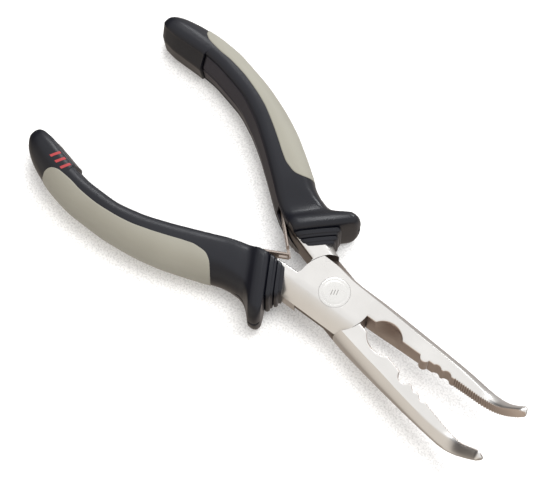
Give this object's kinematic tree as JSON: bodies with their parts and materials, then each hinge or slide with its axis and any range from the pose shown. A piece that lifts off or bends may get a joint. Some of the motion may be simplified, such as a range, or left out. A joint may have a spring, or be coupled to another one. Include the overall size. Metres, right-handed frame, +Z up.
{
  "type": "fishing pliers",
  "caption": "Long-nose pliers with a lap joint, upward-bent serrated jaws, side cutter and crimper, leaf-spring return and two-tone soft grips.",
  "frame": {"origin": "on the pivot axis, at the flat underside of the joint", "axes": "+X forward midway between the jaws, +Z up through the pivot, towards the bent tips"},
  "size_m": [0.1708, 0.075, 0.0276],
  "materials": {
    "steel": "satin nickel",
    "rivet_steel": "turned satin",
    "spring_steel": "satin",
    "core_plastic": "moulded",
    "dark_rubber": "soft matte",
    "pale_rubber": "soft matte"
  },
  "bodies": {
    "upper_half": {"upper_lever": "steel", "pivot_rivet": "rivet_steel", "upper_spring_foot": "spring_steel", "upper_spring_rivet": "spring_steel", "upper_grip_core": "core_plastic", "upper_grip_shell": "dark_rubber", "upper_grip_inlay": "pale_rubber"},
    "lower_half": {"lower_lever": "steel", "lower_spring_foot": "spring_steel", "lower_spring_rivet": "spring_steel", "lower_grip_core": "core_plastic", "lower_grip_shell": "dark_rubber", "lower_grip_inlay": "pale_rubber"},
    "upper_leaf": {"upper_leaf_spring": "spring_steel"},
    "lower_leaf": {"lower_leaf_spring": "spring_steel"}
  },
  "joints": [
    {"name": "pivot", "type": "hinge", "parent": "upper_half", "child": "lower_half", "pos_m": [0, 0, 0.005], "axis": [0, 0, 1], "range_deg": [-6, 14.3], "stiffness_Nm_per_rad": 0.8},
    {"name": "upper_leaf_flex", "type": "hinge", "parent": "upper_half", "child": "upper_leaf", "pos_m": [-0.03022, -0.00815, 0.005], "axis": [0, 0, 1], "range_deg": [-10.8, 4.6]},
    {"name": "lower_leaf_flex", "type": "hinge", "parent": "lower_half", "child": "lower_leaf", "pos_m": [-0.03022, 0.00815, 0.005], "axis": [0, 0, 1], "range_deg": [-4.6, 10.8]}
  ],
  "couplings": [
    {"joint": "upper_leaf_flex", "follows": "pivot", "ratio": -0.745},
    {"joint": "lower_leaf_flex", "follows": "pivot", "ratio": 0.745}
  ]
}
